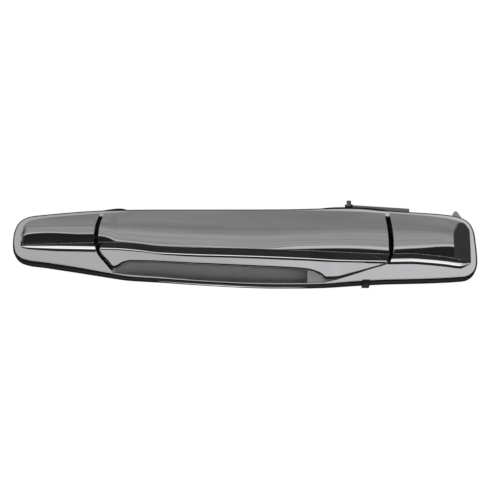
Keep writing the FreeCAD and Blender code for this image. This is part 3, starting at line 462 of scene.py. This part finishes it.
def floor_patch(skin):
    """The recess's floor, in columns that leave out the cup's mouth and the two windows."""
    low_edge = [(-97.5, -1.0)] + LEFT_EDGE[4:] + CUP_RIM + RIGHT_EDGE[:5] + [(95.6, -2.0)]
    cup_left = CUP_DEEP[0][0]
    cup_right = CUP_DEEP[-1][0]
    for xa, xb in zip(FLOOR_BREAKS, FLOOR_BREAKS[1:]):
        middle = (xa + xb) / 2
        lows = [along(low_edge, x) for x in (xa, xb)]
        bands = [(lows, OPEN_TOP)]
        if HINGE_WINDOW_X[0] < middle < cup_left:
            bands = [(lows, HINGE_WINDOW_Z[0]), ([HINGE_WINDOW_Z[1]] * 2, OPEN_TOP)]
        elif cup_left < middle < HINGE_WINDOW_X[1]:
            bands = [([HINGE_WINDOW_Z[1]] * 2, OPEN_TOP)]
        elif HINGE_WINDOW_X[1] < middle < cup_right:
            bands = [([CUP_TOP] * 2, OPEN_TOP)]
        elif PULL_WINDOW_X[0] < middle < PULL_WINDOW_X[1]:
            bands = [(lows, PULL_WINDOW_Z[0]), ([PULL_WINDOW_Z[1]] * 2, OPEN_TOP)]
        for bottoms, z1 in bands:
            skin.grid([[(x, FLOOR_Y, min(z0, z1)), (x, FLOOR_Y, z1)] for x, z0 in zip((xa, xb), bottoms)])


def build_bezel():
    skin = Skin()
    outline = smooth_run(OUTLINE, CURVE_STEPS, closed=True)
    opening = opening_loop()
    skin.plate(FLANGE_Y, [moved_loop(outline, -EDGE_R), moved_loop(opening, RIM_R)])
    back = [(x, FLANGE_BACK, z) for x, z in outline]
    skin.strip(rounded_rings(outline, EDGE_R, -1, EDGE_STEPS) + [back], flip=True)
    skin.plate(FLANGE_BACK, [outline, opening], flip=True)
    floor_edge = [(x, FLOOR_Y, z) for x, z in opening]
    skin.strip(rounded_rings(opening, RIM_R, 1, RIM_STEPS) + [floor_edge])
    pod_patch(skin, (TOP_LEFT, HEIGHT_LEFT, CREASE_LEFT, PEAK_LEFT), POD_END_LEFT, LEFT_EDGE, -1)
    pod_patch(skin, (TOP_RIGHT, HEIGHT_RIGHT, CREASE_RIGHT, PEAK_RIGHT), POD_END_RIGHT, RIGHT_EDGE, 1)
    floor_patch(skin)
    cup_patch(skin, 0.0, CUP_COLUMNS)
    cup_patch(skin, CUP_WALL, CUP_BACK_COLUMNS)
    return skin.make("bezel_skin")


# ---- strap -----------------------------------------------------------------------------------------

def strap_lift(x):
    return STRAP_LIFT + STRAP_TIP_SLOPE * max(0.0, STRAP_TIP_X - x)


def strap_rows(x):
    top, height, crease, peak = (along(t, x) for t in (TOP_STRAP, HEIGHT_STRAP, CREASE_STRAP, PEAK_STRAP))
    bow = along(BOW_STRAP, x)
    return section(top, strap_lift(x), height, crease, bow, peak, STRAP_FILLET)


def strap_low(x):
    """Lower edge of the strap's facet."""
    return along(STRAP_LEFT[4:] + STRAP_LOW + STRAP_RIGHT[:4], x)


def strap_end(edge_x, toward):
    """Rows of points that round the strap's cut end over into its wall."""
    ends = []
    for v, x in enumerate(edge_x):
        z, out = strap_rows(x + toward * GAP_EDGE_R)[v]
        back = FLANGE_Y - strap_lift(x) if z > REST_TOP else FLANGE_Y + SHELL_WALL
        ends.append(rounded_end(x, z, out, back, toward))
    return [[end[k] for end in ends] for k in range(1, len(ends[0]))]


def facet_line(x):
    """Points down the facet below the crease, round its lower edge and back to the wall's thickness."""
    y = FLANGE_Y - along(BOW_STRAP, x)
    z0 = strap_rows(x)[-1][0]
    z1 = min(strap_low(x), z0 - FACET_LEAST)
    r = min(FACET_R, 0.5 * (z0 - z1))
    line = [(x, y, z0 + (z1 + r - z0) * k / FACET_STEPS) for k in range(FACET_STEPS + 1)]
    for k in range(1, FACET_STEPS + 1):
        a = math.pi / 2 * k / FACET_STEPS
        line.append((x, y + r * (1 - math.cos(a)), z1 + r * (1 - math.sin(a))))
    line.append((x, y + SHELL_WALL, z1))
    line.append((x, y + SHELL_WALL, z0 + FACET_BACK_RISE))
    return line


def top_band_line(x, y, z):
    """Points from the strap's top edge back to the core."""
    back = FLANGE_Y - strap_lift(x)
    return [(x, y, z), (x, back, z), (x, back, REST_TOP), (x, STRAP_BAND_Y, REST_TOP),
            (x, STRAP_BAND_Y, REST_TOP - STRAP_BAND_DROP)]


def build_shell():
    skin = Skin()
    count = len(strap_rows(0.0))
    left = [LEFT_GUESS_X] * count
    right = [RIGHT_GUESS_X] * count
    for _ in range(SETTLE_ROUNDS):
        for v in range(count):
            left[v] = at_z(STRAP_LEFT, strap_rows(left[v])[v][0])
            right[v] = at_z(STRAP_RIGHT, strap_rows(right[v])[v][0])
    rows = []
    for c in range(STRAP_COLUMNS + 1):
        s = c / STRAP_COLUMNS
        row = []
        for v in range(count):
            x0 = left[v] + GAP_EDGE_R
            x1 = right[v] - GAP_EDGE_R
            x = x0 + (x1 - x0) * s
            z, out = strap_rows(x)[v]
            row.append((x, FLANGE_Y - out, z))
        rows.append(row)
    left_ends = strap_end(left, 1)
    right_ends = strap_end(right, -1)
    skin.grid(left_ends[::-1] + rows + right_ends)
    crease_x = [row[-1][0] for row in rows]
    facet_x = [left_ends[-1][-1][0] + SLIVER] + crease_x + [right_ends[-1][-1][0] - SLIVER]
    skin.grid([facet_line(x) for x in facet_x])
    skin.grid([top_band_line(*row[0]) for row in rows], flip=True)
    return skin.make("handle_shell_skin")


# ---- shader helpers --------------------------------------------------------------------------------

# places of a mix node's two inputs and its output
MIX_SOCKETS = {"FLOAT": (2, 3, 0), "RGBA": (6, 7, 2)}


def new_material(name):
    mat = bpy.data.materials.new(name)
    mat.use_nodes = True
    return mat, mat.node_tree, mat.node_tree.nodes["Principled BSDF"]


def stretched(tree, vector, scale):
    node = tree.nodes.new("ShaderNodeMapping")
    node.inputs["Scale"].default_value = scale
    tree.links.new(vector, node.inputs["Vector"])
    return node.outputs["Vector"]


def noise(tree, vector, scale, detail):
    node = tree.nodes.new("ShaderNodeTexNoise")
    node.inputs["Scale"].default_value = scale
    node.inputs["Detail"].default_value = detail
    tree.links.new(vector, node.inputs["Vector"])
    return node.outputs["Fac"]


def map_range(tree, value, from_min, from_max, to_min=0.0, to_max=1.0, smooth=False):
    node = tree.nodes.new("ShaderNodeMapRange")
    if smooth:
        node.interpolation_type = "SMOOTHSTEP"
    node.inputs["From Min"].default_value = from_min
    node.inputs["From Max"].default_value = from_max
    node.inputs["To Min"].default_value = to_min
    node.inputs["To Max"].default_value = to_max
    tree.links.new(value, node.inputs["Value"])
    return node.outputs["Result"]


def blend(tree, kind, share, first, second):
    """Mix of two numbers or colours. Each is a socket or a plain value."""
    node = tree.nodes.new("ShaderNodeMix")
    node.data_type = kind
    tree.links.new(share, node.inputs["Factor"])
    first_place, second_place, result_place = MIX_SOCKETS[kind]
    for place, value in ((first_place, first), (second_place, second)):
        if isinstance(value, bpy.types.NodeSocket):
            tree.links.new(value, node.inputs[place])
        else:
            node.inputs[place].default_value = value
    return node.outputs[result_place]


# ---- materials -------------------------------------------------------------------------------------

FINE_DETAIL = 4.0
BROAD_SCALE = 0.06  # scale of the slow change of tone, as a share of the fine grain's
BROAD_DETAIL = 3.0
TINT_FROM = 0.3
TINT_TO = 0.7
RELIEF_HEIGHT = 0.0002


def textured(name, color, metallic, rough, vary, rough_vary, scale, relief, stretch=(1, 1, 1)):
    """Material with gentle variation of tone and roughness and a fine relief, all from object space noise."""
    mat, tree, bsdf = new_material(name)
    nodes, links = tree.nodes, tree.links
    coords = nodes.new("ShaderNodeTexCoord")
    vector = stretched(tree, coords.outputs["Object"], stretch)
    fine = noise(tree, vector, scale, FINE_DETAIL)
    broad = noise(tree, vector, scale * BROAD_SCALE, BROAD_DETAIL)
    tint = nodes.new("ShaderNodeValToRGB")
    darker, lighter = tint.color_ramp.elements
    darker.position = TINT_FROM
    lighter.position = TINT_TO
    darker.color = [c * (1 - vary) for c in color] + [1]
    lighter.color = [min(1.0, c * (1 + vary)) for c in color] + [1]
    links.new(broad, tint.inputs["Fac"])
    links.new(tint.outputs["Color"], bsdf.inputs["Base Color"])
    rough_low = max(0.0, rough - rough_vary)
    rough_high = min(1.0, rough + rough_vary)
    links.new(map_range(tree, fine, 0.0, 1.0, rough_low, rough_high), bsdf.inputs["Roughness"])
    bump = nodes.new("ShaderNodeBump")
    bump.inputs["Strength"].default_value = relief
    bump.inputs["Distance"].default_value = RELIEF_HEIGHT
    links.new(fine, bump.inputs["Height"])
    links.new(bump.outputs["Normal"], bsdf.inputs["Normal"])
    bsdf.inputs["Metallic"].default_value = metallic
    return mat


# colour, metallic, roughness, change of tone, change of roughness, grain scale, relief
PLATING = ((0.74, 0.745, 0.75), 1.0, 0.035, 0.01, 0.02, 120.0, 0.0)

MATERIALS = {
    "chrome": textured("chrome plate", *PLATING),
    "black_plastic": textured("black moulding", (0.010, 0.010, 0.011), 0.0, 0.5, 0.2, 0.1, 2600.0, 0.25),
    "gasket_rubber": textured("black rubber", (0.008, 0.008, 0.008), 0.0, 0.75, 0.2, 0.08, 1800.0, 0.3),
    "black_steel": textured("black spring steel", (0.012, 0.012, 0.013), 0.3, 0.4, 0.2, 0.1, 1500.0, 0.1),
    "pressed_steel": textured("pressed steel", (0.52, 0.52, 0.53), 1.0, 0.45, 0.06, 0.08, 700.0, 0.05,
                              stretch=(0.08, 1, 1)),
    "zinc_plate": textured("zinc plate", (0.80, 0.81, 0.80), 1.0, 0.33, 0.12, 0.12, 500.0, 0.08),
    "pale_plastic": textured("natural plastic", (0.72, 0.70, 0.64), 0.0, 0.45, 0.05, 0.08, 900.0, 0.06),
    "brass": textured("turned brass", (0.70, 0.50, 0.22), 1.0, 0.28, 0.08, 0.1, 1500.0, 0.1,
                      stretch=(1, 6, 1)),
    "cast_weight": textured("cast weight", (0.16, 0.16, 0.165), 0.9, 0.6, 0.2, 0.12, 1200.0, 0.5),
    "spring_steel": textured("spring wire", (0.30, 0.30, 0.31), 1.0, 0.3, 0.1, 0.08, 1800.0, 0.06),
    "clip_plastic": textured("green plastic", (0.05, 0.19, 0.10), 0.0, 0.42, 0.08, 0.08, 900.0, 0.05),
}

# depth at which the frame's plating turns dull, and its look down there: socket, kind and value
DULL_FROM_Y = -8.5
DULL_TO_Y = -6.9
DULL_LOOK = [
    ("Metallic", "FLOAT", 0.3),
    ("Roughness", "FLOAT", 0.38),
    ("Base Color", "RGBA", (0.46, 0.46, 0.465, 1)),
]

# black mouldings and rubber shine little, so the ledge round the flange stays dark
BLACK_SHINE = 0.2


def paint(obj, mat):
    obj.data.materials.clear()
    obj.data.materials.append(mat)


def dull_recess(mat):
    """The plating is thin and dull down in the recess and the finger cup, behind the flange."""
    tree = mat.node_tree
    bsdf = tree.nodes["Principled BSDF"]
    coords = tree.nodes.new("ShaderNodeTexCoord")
    split = tree.nodes.new("ShaderNodeSeparateXYZ")
    tree.links.new(coords.outputs["Object"], split.inputs[0])
    depth = map_range(tree, split.outputs["Y"], DULL_FROM_Y * MM, DULL_TO_Y * MM, smooth=True)
    for name, kind, dull in DULL_LOOK:
        socket = bsdf.inputs[name]
        plain = socket.links[0].from_socket if socket.is_linked else socket.default_value
        tree.links.new(blend(tree, kind, depth, plain, dull), socket)
    return mat


frame_plating = dull_recess(textured("frame plating", *PLATING))

for slot_name in ("black_plastic", "gasket_rubber"):
    shader = MATERIALS[slot_name].node_tree.nodes["Principled BSDF"]
    shader.inputs["Specular IOR Level"].default_value = BLACK_SHINE

SLOT_OF = {row["node"]: row["material_slot"] for row in frame["record"]["subparts"]}
for node_name, node in frame["nodes"].items():
    paint(node, MATERIALS[SLOT_OF[node_name]])

bezel = build_bezel()
paint(bezel, frame_plating)
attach(bezel, "base")
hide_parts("bezel")

shell = build_shell()
paint(shell, MATERIALS["chrome"])
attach(shell, "handle")
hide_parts("handle_shell")


# ---- studio ----------------------------------------------------------------------------------------

FLOOR_DEPTH = 0.42
FLOOR_HALF = 6.0

# Brightness of the surround by height above the horizon, in degrees, in front of the handle and to its
# sides. The plating mirrors it.
FRONT_STOPS = [
    (-90, 2.2), (-72, 2.0), (-58, 0.5), (-46, 0.04), (-22, 0.035), (-14, 0.02), (10.6, 0.018),
    (11.8, 0.60), (16.6, 0.60), (17.8, 0.38), (55, 0.38), (72, 0.28), (90, 0.28),
]
SIDE_STOPS = [(-90, 1.2), (-50, 1.1), (-40, 0.4), (-20, 0.10), (30, 0.07), (50, 0.30), (90, 0.28)]
BLUE_LIFT = 1.01
FRONT_FULL_Y = -0.55  # from 0 to this direction the side tones pass into the front ones
DARK_SIDE = (0.045, 0.045, 0.046, 1)  # the surround beyond the handle's rear end
DARK_SIDE_X = (0.38, 0.50)  # directions where the dark side begins and is full
DARK_SIDE_Z = (-0.75, -0.60)
STREAK_STRETCH = (1.0, 1.0, 3.0)
STREAK_SCALE = 2.6
STREAK_DETAIL = 3.0
STREAK_NOISE = (0.3, 0.7)
STREAK_TONES = (0.78, 1.16)
WHITE = (1.0, 1.0, 1.0, 1)
FLOOR_TONE = (0.86, 0.86, 0.86, 1)
FLOOR_ROUGH = 0.9


def make_floor():
    mesh = bpy.data.meshes.new("studio_floor")
    corners = [(-FLOOR_HALF, -FLOOR_HALF, -FLOOR_DEPTH), (FLOOR_HALF, -FLOOR_HALF, -FLOOR_DEPTH),
               (FLOOR_HALF, FLOOR_HALF, -FLOOR_DEPTH), (-FLOOR_HALF, FLOOR_HALF, -FLOOR_DEPTH)]
    mesh.from_pydata(corners, [], [(0, 1, 2, 3)])
    obj = bpy.data.objects.new("studio_floor", mesh)
    bpy.context.scene.collection.objects.link(obj)
    mat, _, bsdf = new_material("pale floor")
    bsdf.inputs["Base Color"].default_value = FLOOR_TONE
    bsdf.inputs["Roughness"].default_value = FLOOR_ROUGH
    obj.data.materials.append(mat)
    obj.visible_glossy = False
    return obj


def area_light(name, place, aim, size_x, size_y, power):
    """Lamp aimed at a point. It lights the handle but shows neither to the camera nor in the plating."""
    data = bpy.data.lights.new(name, "AREA")
    data.shape = "RECTANGLE"
    data.size = size_x
    data.size_y = size_y
    data.energy = power
    obj = bpy.data.objects.new(name, data)
    obj.location = place
    obj.rotation_euler = (Vector(aim) - Vector(place)).to_track_quat("-Z", "Y").to_euler()
    obj.visible_glossy = False
    obj.visible_camera = False
    bpy.context.scene.collection.objects.link(obj)
    return obj


def height_ramp(tree, height, stops):
    """Grey tones by height. Stops are (degrees above the horizon, brightness)."""
    ramp = tree.nodes.new("ShaderNodeValToRGB")
    tree.links.new(height, ramp.inputs["Fac"])
    elements = ramp.color_ramp.elements
    while len(elements) < len(stops):
        elements.new(0.5)
    for element, (angle, value) in zip(elements, stops):
        element.position = 0.5 + 0.5 * math.sin(math.radians(angle))
        element.color = (value, value, value * BLUE_LIFT, 1)
    return ramp.outputs["Color"]


def make_world():
    """Surround in bands of light and dark by height, with faint streaks. The camera sees it as plain white."""
    world = bpy.data.worlds.new("studio")
    world.use_nodes = True
    tree = world.node_tree
    nodes, links = tree.nodes, tree.links
    nodes.clear()
    coords = nodes.new("ShaderNodeTexCoord")
    split = nodes.new("ShaderNodeSeparateXYZ")
    links.new(coords.outputs["Generated"], split.inputs[0])
    height = map_range(tree, split.outputs["Z"], -1.0, 1.0)
    front_tones = height_ramp(tree, height, FRONT_STOPS)
    side_tones = height_ramp(tree, height, SIDE_STOPS)
    in_front = map_range(tree, split.outputs["Y"], 0.0, FRONT_FULL_Y, smooth=True)
    tones = blend(tree, "RGBA", in_front, side_tones, front_tones)
    at_rear = map_range(tree, split.outputs["X"], *DARK_SIDE_X, smooth=True)
    not_below = map_range(tree, split.outputs["Z"], *DARK_SIDE_Z)
    dark_share = nodes.new("ShaderNodeMath")
    dark_share.operation = "MULTIPLY"
    links.new(at_rear, dark_share.inputs[0])
    links.new(not_below, dark_share.inputs[1])
    tones = blend(tree, "RGBA", dark_share.outputs["Value"], tones, DARK_SIDE)
    streak_vector = stretched(tree, coords.outputs["Generated"], STREAK_STRETCH)
    streaks = noise(tree, streak_vector, STREAK_SCALE, STREAK_DETAIL)
    toned = nodes.new("ShaderNodeVectorMath")
    toned.operation = "SCALE"
    links.new(tones, toned.inputs[0])
    links.new(map_range(tree, streaks, *STREAK_NOISE, *STREAK_TONES), toned.inputs["Scale"])
    path = nodes.new("ShaderNodeLightPath")
    seen = blend(tree, "RGBA", path.outputs["Is Camera Ray"], toned.outputs["Vector"], WHITE)
    shade = nodes.new("ShaderNodeBackground")
    links.new(seen, shade.inputs["Color"])
    out = nodes.new("ShaderNodeOutputWorld")
    links.new(shade.outputs["Background"], out.inputs["Surface"])
    bpy.context.scene.world = world


floor = make_floor()
make_world()
key = area_light("soft top", place=(0.0, -0.6, 1.4), aim=(0, 0, 0), size_x=2.4, size_y=1.6,
                 power=14.0)
fill = area_light("soft back", place=(0.3, 1.6, 0.9), aim=(0, 0, 0), size_x=1.8, size_y=1.4,
                  power=10.0)
low = area_light("soft low front", place=(0.1, -1.0, -0.38), aim=(0, 0, -0.01), size_x=1.2, size_y=0.4,
                 power=9.0)

scene = bpy.context.scene
scene.view_settings.view_transform = "Standard"

# ---- camera, at the photograph's angle -------------------------------------------------------------

AIM = Vector((0.0, FLANGE_Y * MM, 0.0))
ELEVATION = math.radians(-14.0)
DISTANCE = 1.0
LENS = 112.7
SENSOR_WIDTH = 36.0
CLIP_START = 0.05

camera_data = bpy.data.cameras.new("camera")
camera_data.lens = LENS
camera_data.sensor_width = SENSOR_WIDTH
camera_data.clip_start = CLIP_START
camera = bpy.data.objects.new("camera", camera_data)
camera.location = AIM + Vector((0.0, -math.cos(ELEVATION), math.sin(ELEVATION))) * DISTANCE
camera.rotation_euler = (AIM - camera.location).to_track_quat("-Z", "Y").to_euler()
scene.collection.objects.link(camera)
scene.camera = camera
